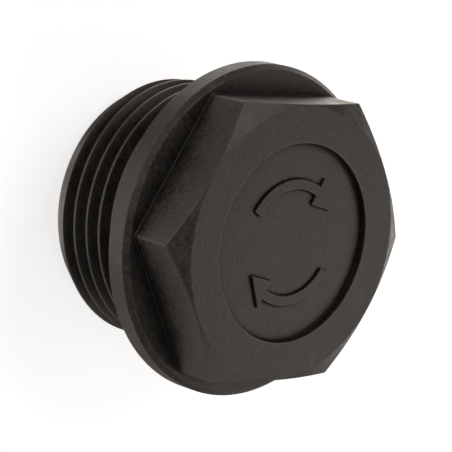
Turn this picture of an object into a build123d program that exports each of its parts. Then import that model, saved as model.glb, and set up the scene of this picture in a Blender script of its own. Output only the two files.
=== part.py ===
from build123d import *
import os
from math import radians, sqrt, tan

# Manifold blanking plug, one moulded body, millimetres.
# The origin is the centre of the flange's sealing face, and +Z runs out through the hexagon head.
# It stands on the open end of its thread, with a corner of the hexagon towards -Y.

# External parallel pipe thread, size G1, right hand
thread_d = 33.1
pitch = 2.309
thread_depth = 1.48
flank_half_angle = 27.5
root_flat = 0.45
thread_length = 16.4

# Plain cone that leads the thread into its socket, and how far its small end lies under the thread's root
lead_length = 2.9
lead_under_root = 0.12

# Where the groove begins, how far above the cone, the sweep of its run-in, and its run-out in the neck
groove_start_angle = 120.0
groove_start_above_lead = 0.07
groove_beyond_crest = 0.2
run_in_radius = 9.0
run_in_short_of_root = 0.02
groove_end_in_neck = 1.0

# Plain neck between the thread and the flange, the seat of a sealing ring, a little under the thread's root
neck_length = 2.4
neck_under_root = 0.12

# Flange, wider than the hexagon's corners all round
flange_beyond_corners = 1.12
flange_thickness = 3.3
flange_front_chamfer = 0.62
flange_back_chamfer = 0.25

# Hexagon head
across_flats = 34.0
front_height = 10.4
corner_radius = 0.3
front_disc_inset = 0.2
chamfer_slope = 28.0
root_fillet = 0.15

# Round recess in the front
recess_d = 24.6
recess_depth = 0.8

# Blind hollow that keeps the wall even, open at the thread's end
barrel_wall = 3.4
head_wall = 4.0
hollow_round = 2.0
mouth_chamfer = 0.5

# Worked out from the sizes above
thread_r = thread_d / 2
root_r = thread_r - thread_depth
lead_end_d = 2 * (root_r - lead_under_root)
neck_d = 2 * (root_r - neck_under_root)
hollow_d = neck_d - 2 * barrel_wall
end_z = -thread_length
lead_top_z = end_z + lead_length
neck_z = -neck_length
shoulder = thread_r - neck_d / 2
corner_r = across_flats / sqrt(3)
flange_d = 2 * (corner_r + flange_beyond_corners)
front_disc_d = across_flats - 2 * front_disc_inset
recess_floor_z = front_height - recess_depth
hollow_roof_z = recess_floor_z - head_wall


def round_bar(d, low_z, high_z):
    return Pos(0, 0, low_z) * Cylinder(d / 2, high_z - low_z, align=(Align.CENTER, Align.CENTER, Align.MIN))


def taper_bar(low_d, high_d, low_z, high_z):
    bar = Cone(low_d / 2, high_d / 2, high_z - low_z, align=(Align.CENTER, Align.CENTER, Align.MIN))
    return Pos(0, 0, low_z) * bar


def thread_groove():
    """The V groove of the thread: a run-in that fades out round the barrel, and a sweep from it to the neck."""
    start_z = lead_top_z + groove_start_above_lead
    end_at = neck_z + groove_end_in_neck
    cut = thread_depth + groove_beyond_crest
    run = tan(radians(flank_half_angle)) * cut
    path = Helix(pitch=pitch, height=end_at - start_z, radius=root_r)
    outline = Polyline(
        (0, -root_flat / 2),
        (0, root_flat / 2),
        (cut, root_flat / 2 + run),
        (cut, -root_flat / 2 - run),
        close=True,
    )
    profile = Plane(origin=path @ 0, x_dir=(1, 0, 0), z_dir=path % 0) * make_face(outline)
    groove = sweep(profile, path=path, is_frenet=True)
    wide = 2 * run_in_radius
    narrow = wide - 2 * cut
    run_in = round_bar(wide, -root_flat / 2, root_flat / 2)
    run_in += taper_bar(narrow, wide, -root_flat / 2 - run, -root_flat / 2)
    run_in += taper_bar(wide, narrow, root_flat / 2, root_flat / 2 + run)
    run_in = Pos(root_r + run_in_radius + run_in_short_of_root, 0, 0) * run_in
    return [Pos(0, 0, start_z) * (Rot(0, 0, groove_start_angle) * tool) for tool in (groove, run_in)]


# Threaded barrel
barrel = taper_bar(lead_end_d, thread_d, end_z, lead_top_z)
barrel += round_bar(thread_d, lead_top_z, neck_z - shoulder)
barrel += taper_bar(thread_d, neck_d, neck_z - shoulder, neck_z)
for tool in thread_groove():
    barrel -= tool
barrel += round_bar(neck_d, neck_z, 0)

# Flange, with its rim broken at the front and a little at the back
flange = round_bar(flange_d, 0, flange_thickness)
flange = chamfer(flange.edges().sort_by(Axis.Z)[-1], flange_front_chamfer)
flange = chamfer(flange.edges().sort_by(Axis.Z)[0], flange_back_chamfer)

# Hexagon with a corner towards -Y, turned at the front to leave a flat disc
hexagon = RegularPolygon(corner_r, 6, major_radius=True, rotation=90)
head = extrude(Pos(0, 0, flange_thickness) * hexagon, front_height - flange_thickness)
head = fillet(head.edges().filter_by(Axis.Z), corner_radius)
disc_r = front_disc_d / 2
turned_depth = (corner_r - disc_r) * tan(radians(chamfer_slope))
turned = round_bar(2 * corner_r, flange_thickness, front_height - turned_depth)
turned += taper_bar(2 * corner_r, front_disc_d, front_height - turned_depth, front_height)
head = head & turned
head += flange
foot = [edge for edge in head.edges() if abs(edge.center().Z - flange_thickness) < 0.001]
foot = [edge for edge in foot if edge.length < across_flats]
head = fillet(foot, root_fillet)

# The whole plug
plug = barrel + head
plug -= round_bar(recess_d, recess_floor_z, front_height)

hollow = round_bar(hollow_d, end_z, hollow_roof_z)
hollow = fillet(hollow.edges().sort_by(Axis.Z)[-1], hollow_round)
hollow += taper_bar(hollow_d + 2 * mouth_chamfer, hollow_d, end_z, end_z + mouth_chamfer)
plug -= hollow

plug.label = "plug_body"
os.makedirs("parts", exist_ok=True)
export_step(plug, "parts/plug_body.step")
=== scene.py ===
import bpy
from math import cos, pi, radians, sin
from bpy.props import FloatProperty, FloatVectorProperty, IntProperty, PointerProperty
from mathutils import Euler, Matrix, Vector


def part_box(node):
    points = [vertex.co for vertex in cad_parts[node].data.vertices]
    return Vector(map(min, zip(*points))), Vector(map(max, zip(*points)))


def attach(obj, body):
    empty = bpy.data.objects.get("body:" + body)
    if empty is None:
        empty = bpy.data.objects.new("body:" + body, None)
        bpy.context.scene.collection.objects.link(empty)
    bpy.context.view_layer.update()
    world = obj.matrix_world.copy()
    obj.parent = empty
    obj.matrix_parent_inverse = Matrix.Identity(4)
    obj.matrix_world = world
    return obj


bl_info = {
    "name": "Manifold blanking plug",
    "version": (1, 0, 0),
    "blender": (4, 5, 0),
    "location": "3D Viewport > Sidebar > Plug",
    "description": "Finishes the moulded body of a blanking plug, marks its recess and sets it on a stage",
    "category": "Object",
}

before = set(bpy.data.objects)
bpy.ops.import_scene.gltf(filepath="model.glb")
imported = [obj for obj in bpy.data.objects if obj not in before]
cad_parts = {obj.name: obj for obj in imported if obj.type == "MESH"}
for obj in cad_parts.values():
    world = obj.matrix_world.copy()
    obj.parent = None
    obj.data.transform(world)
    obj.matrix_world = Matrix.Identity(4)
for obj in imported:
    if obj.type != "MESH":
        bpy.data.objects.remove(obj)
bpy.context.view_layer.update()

# Where the pieces sit, read from the frame
BODY = "plug_body"
LOW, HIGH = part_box(BODY)
STAND_Z = LOW.z
FRONT_Z = HIGH.z

# Noise: how rough it is, and how wide mottle and smudges are beside the clouds
NOISE_ROUGHNESS = 0.55
MOTTLE_TO_CLOUD = 0.2
SMUDGE_TO_CLOUD = 0.8

# The values of a noise between which it goes from none to full
NOISE_RANGE = (0.35, 0.7)
SWING_RANGE = (0.3, 0.7)
SMUDGE_RANGE = (0.56, 0.74)
STREAK_RANGE = (0.69, 0.76)
PATCH_RANGE = (0.58, 0.7)

# How mottle breaks up smudges and the pale outer edges, which are partly rubbed wear and partly painted
# highlight: its values, and the shares that it leaves
SMUDGE_BREAKS = (0.35, 0.6, 0.3, 1.0)
EDGE_BREAKS = (0.3, 0.65, 0.25, 1.0)

# The shares of open sky between which a surface goes from none to full of each of these: the pale outer
# edges, partly rubbed wear and partly painted highlight, and the creases, tall walls, corners and grooves
# that set where shade is painted
OUTER_EDGE_RANGE = (0.97, 0.65)
CREASE_RANGE = (0.9, 0.6)
TALL_WALL_RANGE = (0.9, 0.62)
CORNER_RANGE = (0.89, 0.6)
OUTSIDE_GROOVE_RANGE = (0.3, 0.5)

# How much paler clouds, mottle and grain make the plastic, at their least and at their most
CLOUD_PALE = (-0.1, 0.6)
MOTTLE_PALE = (-0.1, 0.5)
GRAIN_PALE = (-0.15, 0.4)

# What the grain and the mottle add to the bumps, as shares of the grain's depth
GRAIN_RELIEF = 0.5
MOTTLE_RELIEF = 1.6

# The plastic's refraction, and the warm tint of its gloss
REFRACTION = 1.53
GLOSS_TINT = (1, 0.96, 0.92)

# Gloss of the open surface and deep in a crease, and the share of it that a corner leaves
OPEN_GLOSS = 0.5
CREASE_GLOSS = 0.1
CORNER_GLOSS_LEFT = 0.5

# Scratches run along two directions, as noise drawn out along its own Y
SCRATCH_TURNS = ((0.3, 0.5, 0.4), (1.1, 0.2, 2.0))
SCRATCH_STRETCH = (1, 0.07, 1)
SMUDGE_TURN = (0.4, 0.2, 0.9)

# The part of a speck's radius over which it is full
SPECK_CORE = 0.4

# Rays that look for edges and creases, and rays that round the edges
REACH_SAMPLES = 12
ROUND_SAMPLES = 8

# Straight steps in an arrow's curved line and in the rounding of its edges, and how sharp a rounded edge is
ARC_STEPS = 32
ROUND_STEPS = 3
SHARP_ANGLE = radians(30)

# Lamps, each with its name, azimuth and elevation in degrees, and brightness
FAR_LAMPS = (
    ("softbox_top", 155, 54, 2.1),
    ("softbox_left", 240, 14, 2.1),
    ("softbox_bottom", 27, 38, 1.25),
)
NEAR_LAMP = ("softbox_near", 73.6, 39.5, 1.0)

# How bright the plug's gloss sees the floor, by azimuth in degrees: lit behind the plug, dim at its left
FLOOR_GLOW = (
    (-179, 0.7),
    (-166, 0.45),
    (-150, 0.05),
    (-130, 0.05),
    (-117, 0.4),
    (-104, 0.4),
    (-96, 0.62),
    (-75, 0.62),
    (-62, 0.22),
    (-28, 0.22),
    (-17, 0.0),
    (54, 0.0),
    (66, 1.0),
    (135, 1.0),
    (150, 0.66),
    (179, 0.7),
)


class PlugMaterialSettings(bpy.types.PropertyGroup):
    """Colours and surface of the moulded plastic, with painted shade in its creases and pale edges that are
    partly rubbed wear and partly painted highlight.
    """

    plastic: FloatVectorProperty(
        name="Plastic",
        description="Colour of the black plastic where the mould left it smooth",
        subtype="COLOR",
        default=(0.0168, 0.0154, 0.0142),
        min=0.0,
        max=1.0,
    )
    plastic_pale: FloatVectorProperty(
        name="Pale cast",
        description="Colour of the plastic where it has a greyer cloud",
        subtype="COLOR",
        default=(0.045, 0.042, 0.039),
        min=0.0,
        max=1.0,
    )
    # Pale colour of rubbed wear, smudges and scratches; on the outer edges it also paints their highlight
    wear_and_highlight_pale: FloatVectorProperty(
        name="Rubbed edge",
        description="Colour of edges and scratches rubbed paler by handling",
        subtype="COLOR",
        default=(0.085, 0.079, 0.073),
        min=0.0,
        max=1.0,
    )
    dust: FloatVectorProperty(
        name="Dust",
        description="Colour of the few fine specks of dust",
        subtype="COLOR",
        default=(0.20, 0.185, 0.165),
        min=0.0,
        max=1.0,
    )
    roughness: FloatProperty(
        name="Roughness",
        description="Mean roughness of the moulded surface",
        default=0.42,
        min=0.05,
        max=1.0,
        subtype="FACTOR",
    )
    roughness_swing: FloatProperty(
        name="Roughness swing",
        description="How far clouds and mottle each move the roughness up and down",
        default=0.06,
        min=0.0,
        max=0.3,
    )
    cloud_size: FloatProperty(
        name="Cloud size",
        description="Width of the soft clouds in the surface",
        default=0.0034,
        min=0.0005,
        max=0.02,
        unit="LENGTH",
    )
    grain_size: FloatProperty(
        name="Grain size",
        description="Width of the fine grain left by the mould",
        default=0.00034,
        min=0.00005,
        max=0.002,
        unit="LENGTH",
    )
    grain_depth: FloatProperty(
        name="Grain depth",
        description="Depth of the fine grain",
        default=0.00003,
        min=0.0,
        max=0.0002,
        unit="LENGTH",
    )
    edge_round: FloatProperty(
        name="Edge rounding",
        description="Radius that softens the moulded edges",
        default=0.00014,
        min=0.0,
        max=0.001,
        unit="LENGTH",
    )
    crease_round: FloatProperty(
        name="Crease rounding",
        description="Radius with which a wall seems to run into the face at its foot",
        default=0.0009,
        min=0.0,
        max=0.003,
        unit="LENGTH",
    )
    # Reach of the pale outer edges, partly rubbed wear and partly painted highlight
    edge_wear_and_highlight_reach: FloatProperty(
        name="Edge wear",
        description="How far from an edge the plastic is rubbed",
        default=0.00036,
        min=0.00005,
        max=0.002,
        unit="LENGTH",
    )
    # Strength of the pale outer edges, partly rubbed wear and partly painted highlight
    edge_wear_and_highlight_share: FloatProperty(
        name="Edge share",
        description="How strongly edges are rubbed paler",
        default=0.9,
        min=0.0,
        max=1.0,
        subtype="FACTOR",
    )
    smudge_share: FloatProperty(
        name="Smudge share",
        description="How strongly pale smudges show",
        default=0.4,
        min=0.0,
        max=1.0,
        subtype="FACTOR",
    )
    scratch_share: FloatProperty(
        name="Scratch share",
        description="How strongly scratches show",
        default=0.3,
        min=0.0,
        max=1.0,
        subtype="FACTOR",
    )
    scratch_width: FloatProperty(
        name="Scratch width",
        description="Width of a fine scratch",
        default=0.00024,
        min=0.00005,
        max=0.002,
        unit="LENGTH",
    )
    scratch_patch: FloatProperty(
        name="Scratched patch",
        description="Width of the places that have scratches",
        default=0.005,
        min=0.0005,
        max=0.02,
        unit="LENGTH",
    )
    # Painted shade: the dark colour laid deep in creases and near inner corners, where shade falls
    painted_crease_shade: FloatVectorProperty(
        name="Crease",
        description="Colour deep in a crease",
        subtype="COLOR",
        default=(0.004, 0.0035, 0.003),
        min=0.0,
        max=1.0,
    )
    # Reach of the crease mask, which paints strong shade, lowers the gloss and rounds the foot of a wall
    crease_reach: FloatProperty(
        name="Crease reach",
        description="How far from an inner corner the plastic turns very dark",
        default=0.0007,
        min=0.00005,
        max=0.005,
        unit="LENGTH",
    )
    # Reach of the corner mask, which paints lighter shade and lowers the gloss near an inner corner
    corner_reach: FloatProperty(
        name="Corner reach",
        description="How far from an inner corner the plastic is a little darker and less shiny",
        default=0.0035,
        min=0.0005,
        max=0.01,
        unit="LENGTH",
    )
    # Strength of the painted shade in a crease
    crease_shade_share: FloatProperty(
        name="Crease share",
        description="How strongly a crease is darkened",
        default=0.8,
        min=0.0,
        max=1.0,
        subtype="FACTOR",
    )
    # Strength of the painted shade near an inner corner
    corner_shade_share: FloatProperty(
        name="Corner share",
        description="How strongly the plastic near an inner corner is darkened",
        default=0.5,
        min=0.0,
        max=1.0,
        subtype="FACTOR",
    )
    speck_spacing: FloatProperty(
        name="Speck spacing",
        description="Mean distance between grains of dust",
        default=0.00125,
        min=0.0002,
        max=0.01,
        unit="LENGTH",
    )
    speck_radius: FloatProperty(
        name="Speck radius",
        description="Radius of a grain of dust",
        default=0.00007,
        min=0.00001,
        max=0.0005,
        unit="LENGTH",
    )


class PlugMarkSettings(bpy.types.PropertyGroup):
    """Sizes of the raised tightening mark in the round recess."""

    recess_depth: FloatProperty(
        name="Recess depth",
        description="Depth of the round recess in the front, on whose floor the mark stands",
        default=0.0008,
        unit="LENGTH",
    )
    height: FloatProperty(
        name="Height",
        description="Height of the mark above the recess floor",
        default=0.0004,
        unit="LENGTH",
    )
    path_diameter: FloatProperty(
        name="Path diameter",
        description="Diameter of the circle that the arrows follow",
        default=0.0144,
        unit="LENGTH",
    )
    line_width: FloatProperty(
        name="Line width",
        description="Width of an arrow's curved line",
        default=0.0013,
        unit="LENGTH",
    )
    sweep: FloatProperty(
        name="Sweep",
        description="Angle that an arrow's line covers",
        default=radians(118),
        subtype="ANGLE",
    )
    head_width: FloatProperty(
        name="Head width",
        description="Width of an arrow's head",
        default=0.0038,
        unit="LENGTH",
    )
    head_length: FloatProperty(
        name="Head length",
        description="Length of an arrow's head along its path",
        default=0.0036,
        unit="LENGTH",
    )
    count: IntProperty(
        name="Arrows",
        description="Number of arrows round the circle",
        default=2,
        min=1,
        max=6,
    )
    first_angle: FloatProperty(
        name="First arrow",
        description="Where the first arrow's tail starts, from +X towards +Y",
        default=radians(60),
        subtype="ANGLE",
    )
    edge_round: FloatProperty(
        name="Edge rounding",
        description="Radius of the mark's edges",
        default=0.00013,
        unit="LENGTH",
    )


class PlugStageSettings(bpy.types.PropertyGroup):
    """Camera and light."""

    camera_place: FloatVectorProperty(
        name="Camera place",
        description="Where the camera stands",
        subtype="TRANSLATION",
        unit="LENGTH",
        default=(-0.04964, -0.21956, 0.22408),
    )
    camera_turn: FloatVectorProperty(
        name="Camera turn",
        description="How the camera is turned, about X, Y and Z",
        subtype="EULER",
        default=(radians(-15.355), radians(-42.748), radians(99.229)),
    )
    lens: FloatProperty(
        name="Lens",
        description="Focal length of the camera, in millimetres on a 36 mm sensor",
        default=204.64,
    )
    light_colour: FloatVectorProperty(
        name="Light colour",
        description="Colour of every lamp and of the light from all round",
        subtype="COLOR",
        default=(1.0, 0.93, 0.875),
        min=0.0,
        max=1.0,
    )
    surroundings: FloatProperty(
        name="Surroundings",
        description="Strength of the even light from all round",
        default=0.16,
        min=0.0,
    )
    lamp_distance: FloatProperty(
        name="Lamp distance",
        description="How far the softboxes stand from the plug",
        default=0.7,
        unit="LENGTH",
    )
    lamp_width: FloatProperty(
        name="Lamp width",
        description="Width of a softbox",
        default=0.42,
        unit="LENGTH",
    )
    near_distance: FloatProperty(
        name="Near lamp distance",
        description="How far the small near softbox stands from the plug",
        default=0.17,
        unit="LENGTH",
    )
    near_width: FloatProperty(
        name="Near lamp width",
        description="Width of the small near softbox",
        default=0.11,
        unit="LENGTH",
    )
    floor_width: FloatProperty(
        name="Floor width",
        description="Width of the square floor",
        default=3.0,
        unit="LENGTH",
    )
    floor_colour: FloatVectorProperty(
        name="Floor colour",
        description="Colour of the matt floor, on which the plug's shadow falls",
        subtype="COLOR",
        default=(0.8, 0.8, 0.8),
        min=0.0,
        max=1.0,
    )
    floor_seen: FloatProperty(
        name="Floor seen",
        description="What the camera sees on top of the matt floor, white where it is lit",
        default=0.72,
        min=0.0,
    )
    floor_mirrored: FloatProperty(
        name="Floor mirrored",
        description="What gloss on the plug sees on top of the matt floor, where the floor is lit most",
        default=1.35,
        min=0.0,
    )


def node(tree, kind, **values):
    """A new shader node, with its named settings and its sockets set."""
    made = tree.nodes.new(kind)
    for name, value in values.items():
        if name in made.inputs:
            made.inputs[name].default_value = value
        else:
            setattr(made, name, value)
    return made


def noise(tree, width, detail=2.0, turn=(0, 0, 0), stretch=(1, 1, 1)):
    """Noise fixed to the plug, whose blotches are about as wide as asked."""
    place = node(tree, "ShaderNodeTexCoord")
    lay = node(tree, "ShaderNodeMapping", Rotation=turn, Scale=stretch)
    texture = node(tree, "ShaderNodeTexNoise", Scale=1 / width, Detail=detail, Roughness=NOISE_ROUGHNESS)
    tree.links.new(place.outputs["Object"], lay.inputs["Vector"])
    tree.links.new(lay.outputs["Vector"], texture.inputs["Vector"])
    return texture.outputs["Fac"]


def scale(tree, value, low, high, to_low=0.0, to_high=1.0):
    """The value between low and high, stretched to the new limits."""
    made = node(tree, "ShaderNodeMapRange")
    for name, limit in (("From Min", low), ("From Max", high), ("To Min", to_low), ("To Max", to_high)):
        made.inputs[name].default_value = limit
    tree.links.new(value, made.inputs["Value"])
    return made.outputs["Result"]


def combine(tree, operation, first, second):
    """Two values put together by the operation. Each is a socket or a number."""
    made = node(tree, "ShaderNodeMath", operation=operation)
    for socket, value in zip(made.inputs, (first, second)):
        if isinstance(value, float):
            socket.default_value = value
        else:
            tree.links.new(value, socket)
    return made.outputs[0]


def over(tree, under, colour, share):
    """A colour laid over another where its share says."""
    made = node(tree, "ShaderNodeMix", data_type="RGBA")
    made.inputs["B"].default_value = (*colour, 1)
    if isinstance(under, bpy.types.NodeSocket):
        tree.links.new(under, made.inputs["A"])
    else:
        made.inputs["A"].default_value = (*under, 1)
    tree.links.new(share, made.inputs["Factor"])
    return made.outputs["Result"]


def outer_edges(tree, reach):
    """1 at an outer edge of the plastic and 0 away from it."""
    made = node(tree, "ShaderNodeAmbientOcclusion", Distance=reach, samples=REACH_SAMPLES)
    made.inside = True
    made.only_local = True
    return scale(tree, made.outputs["AO"], *OUTER_EDGE_RANGE)


def openness(tree, reach):
    """1 in the open, one half at the foot of a wall and less in a groove."""
    made = node(tree, "ShaderNodeAmbientOcclusion", Distance=reach, samples=REACH_SAMPLES)
    return made.outputs["AO"]


def specks(tree, spacing, radius):
    """Sparse round grains of dust."""
    place = node(tree, "ShaderNodeTexCoord")
    cells = node(tree, "ShaderNodeTexVoronoi", Scale=1 / spacing)
    tree.links.new(place.outputs["Object"], cells.inputs["Vector"])
    rim = radius / spacing
    return scale(tree, cells.outputs["Distance"], rim, SPECK_CORE * rim)


def scratches(tree, turn, settings):
    """Short fine scratches along one direction, only here and there."""
    streaks = noise(tree, settings.scratch_width, 1.0, turn, SCRATCH_STRETCH)
    places = noise(tree, settings.scratch_patch, 0.0, turn)
    return combine(tree, "MULTIPLY", scale(tree, streaks, *STREAK_RANGE), scale(tree, places, *PATCH_RANGE))


def moulded_plastic(settings):
    """Matte black moulded plastic: clouds, fine grain, pale edges that are partly rubbed wear and partly
    painted highlight, painted shade in creases and near inner corners, scratches and dust.
    """
    material = bpy.data.materials.new("black_moulded_plastic")
    material.use_nodes = True
    tree = material.node_tree
    tree.nodes.clear()

    clouds = noise(tree, settings.cloud_size, 4.0)
    mottle = noise(tree, settings.cloud_size * MOTTLE_TO_CLOUD, 3.0)
    grain = noise(tree, settings.grain_size, 2.0)
    smudges = scale(tree, noise(tree, settings.cloud_size * SMUDGE_TO_CLOUD, 5.0, SMUDGE_TURN), *SMUDGE_RANGE)
    smudges = combine(tree, "MULTIPLY", smudges, scale(tree, mottle, *SMUDGE_BREAKS))
    # Pale outer edges: partly rubbed wear, partly painted highlight
    outer = outer_edges(tree, settings.edge_wear_and_highlight_reach)
    rubbed = combine(tree, "MULTIPLY", outer, scale(tree, mottle, *EDGE_BREAKS))

    # Painted shade: masks for creases and for the plastic near inner corners, from how much open sky each
    # point sees
    wide = openness(tree, settings.corner_reach)
    outside_grooves = scale(tree, wide, *OUTSIDE_GROOVE_RANGE)
    tall_wall = combine(tree, "MULTIPLY", scale(tree, wide, *TALL_WALL_RANGE), outside_grooves)
    crease = scale(tree, openness(tree, settings.crease_reach), *CREASE_RANGE)
    crease = combine(tree, "MULTIPLY", crease, tall_wall)
    corner = combine(tree, "MULTIPLY", scale(tree, wide, *CORNER_RANGE), outside_grooves)

    pale = scale(tree, clouds, *NOISE_RANGE, *CLOUD_PALE)
    pale = combine(tree, "ADD", pale, scale(tree, mottle, *NOISE_RANGE, *MOTTLE_PALE))
    pale = combine(tree, "ADD", pale, scale(tree, grain, *NOISE_RANGE, *GRAIN_PALE))
    colour = over(tree, settings.plastic, settings.plastic_pale, pale)
    layers = [
        (settings.wear_and_highlight_pale, rubbed, settings.edge_wear_and_highlight_share),
        (settings.wear_and_highlight_pale, smudges, settings.smudge_share),
    ]
    for turn in SCRATCH_TURNS:
        layers.append((settings.wear_and_highlight_pale, scratches(tree, turn, settings), settings.scratch_share))
    # Painted shade laid near inner corners and deep in creases
    layers.append((settings.painted_crease_shade, corner, settings.corner_shade_share))
    layers.append((settings.painted_crease_shade, crease, settings.crease_shade_share))
    for paint, where, share in layers:
        colour = over(tree, colour, paint, combine(tree, "MULTIPLY", where, share))
    colour = over(tree, colour, settings.dust, specks(tree, settings.speck_spacing, settings.speck_radius))

    swing = settings.roughness_swing
    rough = scale(tree, clouds, *SWING_RANGE, settings.roughness - swing, settings.roughness + swing)
    rough = combine(tree, "ADD", rough, scale(tree, mottle, *SWING_RANGE, -swing, swing))
    gloss = scale(tree, crease, 0.0, 1.0, OPEN_GLOSS, CREASE_GLOSS)
    gloss = combine(tree, "MULTIPLY", gloss, scale(tree, corner, 0.0, 1.0, 1.0, CORNER_GLOSS_LEFT))

    rounded = node(tree, "ShaderNodeBevel", samples=ROUND_SAMPLES)
    blend = scale(tree, crease, 0.0, 1.0, settings.edge_round, settings.crease_round)
    tree.links.new(blend, rounded.inputs["Radius"])
    bumps = node(tree, "ShaderNodeBump", Strength=1.0, Distance=settings.grain_depth)
    fine = combine(tree, "MULTIPLY", grain, GRAIN_RELIEF)
    broad = combine(tree, "MULTIPLY", mottle, MOTTLE_RELIEF)
    tree.links.new(combine(tree, "ADD", fine, broad), bumps.inputs["Height"])
    tree.links.new(rounded.outputs["Normal"], bumps.inputs["Normal"])

    shader = node(tree, "ShaderNodeBsdfPrincipled", IOR=REFRACTION)
    shader.inputs["Specular Tint"].default_value = (*GLOSS_TINT, 1)
    tree.links.new(colour, shader.inputs["Base Color"])
    tree.links.new(rough, shader.inputs["Roughness"])
    tree.links.new(gloss, shader.inputs["Specular IOR Level"])
    tree.links.new(bumps.outputs["Normal"], shader.inputs["Normal"])
    out = node(tree, "ShaderNodeOutputMaterial")
    tree.links.new(shader.outputs["BSDF"], out.inputs["Surface"])
    return material


def plastic(context):
    """The plug's plastic, made when the first piece asks for it."""
    made = bpy.data.materials.get("black_moulded_plastic")
    return made or moulded_plastic(context.scene.plug_material)


class PLUG_OT_body(bpy.types.Operator):
    """Give the moulded body its black plastic"""

    bl_idname = "plug.body"
    bl_label = "Finish the body"

    def execute(self, context):
        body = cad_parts[BODY]
        body.data.materials.clear()
        body.data.materials.append(plastic(context))
        return {"FINISHED"}


def on_circle(radius, angle, height):
    return Vector((radius * cos(angle), radius * sin(angle), height))


def arrow_outline(settings, tail, height):
    """Corners of one curved arrow, which runs clockwise from its tail, seen from the front."""
    middle = settings.path_diameter / 2
    neck = tail - settings.sweep + settings.head_length / middle
    outer = []
    inner = []
    for step in range(ARC_STEPS + 1):
        angle = tail + (neck - tail) * step / ARC_STEPS
        outer.append(on_circle(middle + settings.line_width / 2, angle, height))
        inner.append(on_circle(middle - settings.line_width / 2, angle, height))
    head = [
        on_circle(middle + settings.head_width / 2, neck, height),
        on_circle(middle, tail - settings.sweep, height),
        on_circle(middle - settings.head_width / 2, neck, height),
    ]
    return outer + head + inner[::-1]


def slab(foot, top, first):
    """Faces of a slab whose foot and top run clockwise, with its foot's first corner numbered first."""
    count = len(foot)
    low = [first + step for step in range(count)]
    high = [first + count + step for step in range(count)]
    sides = [(low[step - 1], high[step - 1], high[step], low[step]) for step in range(count)]
    return [low, high[::-1], *sides]


class PLUG_OT_mark(bpy.types.Operator):
    """Raise a generic clockwise tightening mark in the round recess"""

    bl_idname = "plug.mark"
    bl_label = "Raise the tightening mark"

    def execute(self, context):
        settings = context.scene.plug_mark
        floor_z = FRONT_Z - settings.recess_depth
        sunk = settings.edge_round
        corners = []
        faces = []
        for index in range(settings.count):
            tail = settings.first_angle + 2 * pi * index / settings.count
            foot = arrow_outline(settings, tail, floor_z - sunk)
            top = arrow_outline(settings, tail, floor_z + settings.height)
            faces += slab(foot, top, len(corners))
            corners += foot + top
        data = bpy.data.meshes.new("tightening_mark")
        data.from_pydata(corners, [], faces)
        mark = bpy.data.objects.new("tightening_mark", data)
        context.scene.collection.objects.link(mark)
        rounding = mark.modifiers.new("rounded_edges", "BEVEL")
        rounding.width = settings.edge_round
        rounding.segments = ROUND_STEPS
        rounding.limit_method = "ANGLE"
        rounding.angle_limit = SHARP_ANGLE
        data.materials.append(plastic(context))
        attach(mark, "root")
        return {"FINISHED"}


def softbox(name, azimuth, elevation, brightness, distance, width, settings):
    """Add a square softbox that looks at the plug. Azimuth is from +X towards +Y, in degrees."""
    light = bpy.data.lights.new(name, "AREA")
    light.shape = "SQUARE"
    light.size = width
    # Brightness is how bright the softbox's face looks, whatever its width
    light.energy = brightness * pi * width**2
    light.color = settings.light_colour
    lamp = bpy.data.objects.new(name, light)
    bpy.context.scene.collection.objects.link(lamp)
    turn = radians(azimuth)
    lift = radians(elevation)
    way = Vector((cos(turn) * cos(lift), sin(turn) * cos(lift), sin(lift)))
    lamp.location = way * distance
    lamp.rotation_euler = (-way).to_track_quat("-Z", "Y").to_euler()


def floor_white(settings):
    """Matt white floor that keeps the plug's shadow, and that gloss on the plug sees lit unevenly."""
    material = bpy.data.materials.new("floor_white")
    material.use_nodes = True
    tree = material.node_tree
    tree.nodes.clear()
    out = node(tree, "ShaderNodeOutputMaterial")
    ray = node(tree, "ShaderNodeLightPath")
    matt = node(tree, "ShaderNodeBsdfDiffuse")
    matt.inputs["Color"].default_value = (*settings.floor_colour, 1)

    place = node(tree, "ShaderNodeTexCoord")
    round_plug = node(tree, "ShaderNodeTexGradient", gradient_type="RADIAL")
    tree.links.new(place.outputs["Object"], round_plug.inputs["Vector"])
    glow_round = node(tree, "ShaderNodeValToRGB")
    tree.links.new(round_plug.outputs["Fac"], glow_round.inputs["Fac"])
    ramp = glow_round.color_ramp
    for azimuth, glow in FLOOR_GLOW:
        stop = ramp.elements.new(azimuth / 360 + 0.5)
        stop.color = (*(glow * part for part in settings.light_colour), 1)
    ramp.elements.remove(ramp.elements[0])
    ramp.elements.remove(ramp.elements[-1])

    mirrored = node(tree, "ShaderNodeEmission", Strength=settings.floor_mirrored)
    tree.links.new(glow_round.outputs["Color"], mirrored.inputs["Color"])
    seen = node(tree, "ShaderNodeEmission", Strength=settings.floor_seen)
    surface = matt
    for glow, flag in ((mirrored, "Is Glossy Ray"), (seen, "Is Camera Ray")):
        both = node(tree, "ShaderNodeAddShader")
        tree.links.new(glow.outputs[0], both.inputs[0])
        tree.links.new(matt.outputs[0], both.inputs[1])
        choose = node(tree, "ShaderNodeMixShader")
        tree.links.new(ray.outputs[flag], choose.inputs["Fac"])
        tree.links.new(surface.outputs[0], choose.inputs[1])
        tree.links.new(both.outputs[0], choose.inputs[2])
        surface = choose
    tree.links.new(surface.outputs[0], out.inputs["Surface"])
    return material


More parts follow.
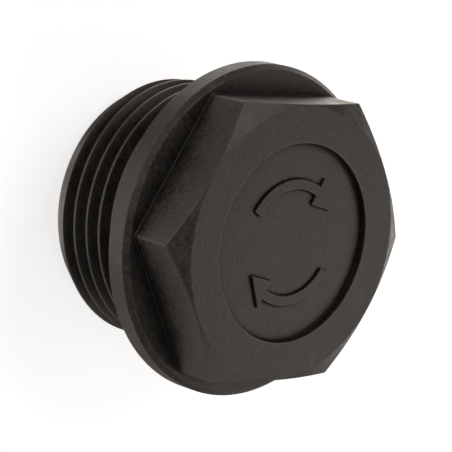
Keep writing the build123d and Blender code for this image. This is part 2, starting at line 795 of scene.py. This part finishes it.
def even_light(settings):
    """White to the camera, and an even light of the chosen strength to everything else."""
    world = bpy.data.worlds.new("surroundings")
    world.use_nodes = True
    tree = world.node_tree
    tree.nodes.clear()
    out = node(tree, "ShaderNodeOutputWorld")
    ray = node(tree, "ShaderNodeLightPath")
    soft = node(tree, "ShaderNodeBackground", Strength=settings.surroundings)
    white = node(tree, "ShaderNodeBackground", Strength=1.0)
    soft.inputs["Color"].default_value = (*settings.light_colour, 1)
    white.inputs["Color"].default_value = (1, 1, 1, 1)
    choose = node(tree, "ShaderNodeMixShader")
    tree.links.new(ray.outputs["Is Camera Ray"], choose.inputs["Fac"])
    tree.links.new(soft.outputs[0], choose.inputs[1])
    tree.links.new(white.outputs[0], choose.inputs[2])
    tree.links.new(choose.outputs[0], out.inputs["Surface"])
    return world


class PLUG_OT_stage(bpy.types.Operator):
    """Stand the plug on a white floor under soft light, with the camera at its view"""

    bl_idname = "plug.stage"
    bl_label = "Set the stage"

    def execute(self, context):
        settings = context.scene.plug_stage
        scene = context.scene
        scene.view_settings.view_transform = "Standard"

        camera = bpy.data.objects.new("camera", bpy.data.cameras.new("camera"))
        scene.collection.objects.link(camera)
        camera.location = settings.camera_place
        camera.rotation_euler = Euler(settings.camera_turn)
        camera.data.lens = settings.lens
        camera.data.clip_start = 0.01
        camera.data.clip_end = 20
        scene.camera = camera

        scene.world = even_light(settings)
        bpy.ops.mesh.primitive_plane_add(size=settings.floor_width, location=(0, 0, STAND_Z))
        floor = context.object
        floor.name = "floor"
        floor.data.materials.append(floor_white(settings))

        for lamp in FAR_LAMPS:
            softbox(*lamp, settings.lamp_distance, settings.lamp_width, settings)
        softbox(*NEAR_LAMP, settings.near_distance, settings.near_width, settings)
        return {"FINISHED"}


class PLUG_PT_sidebar(bpy.types.Panel):
    """The plug's pieces and stage"""

    bl_idname = "PLUG_PT_sidebar"
    bl_label = "Blanking plug"
    bl_space_type = "VIEW_3D"
    bl_region_type = "UI"
    bl_category = "Plug"

    def draw(self, context):
        for operator, (name, group) in zip(OPERATORS, SETTINGS.items()):
            self.layout.operator(operator.bl_idname)
            for field in group.__annotations__:
                self.layout.prop(getattr(context.scene, name), field)


SETTINGS = {
    "plug_material": PlugMaterialSettings,
    "plug_mark": PlugMarkSettings,
    "plug_stage": PlugStageSettings,
}
OPERATORS = (PLUG_OT_body, PLUG_OT_mark, PLUG_OT_stage)


def register():
    for name, group in SETTINGS.items():
        bpy.utils.register_class(group)
        setattr(bpy.types.Scene, name, PointerProperty(type=group))
    for operator in OPERATORS:
        bpy.utils.register_class(operator)
    bpy.utils.register_class(PLUG_PT_sidebar)


def unregister():
    bpy.utils.unregister_class(PLUG_PT_sidebar)
    for operator in reversed(OPERATORS):
        bpy.utils.unregister_class(operator)
    for name, group in reversed(SETTINGS.items()):
        delattr(bpy.types.Scene, name)
        bpy.utils.unregister_class(group)


def main():
    register()
    bpy.ops.plug.body()
    bpy.ops.plug.mark()
    bpy.ops.plug.stage()


if __name__ == "__main__":
    main()
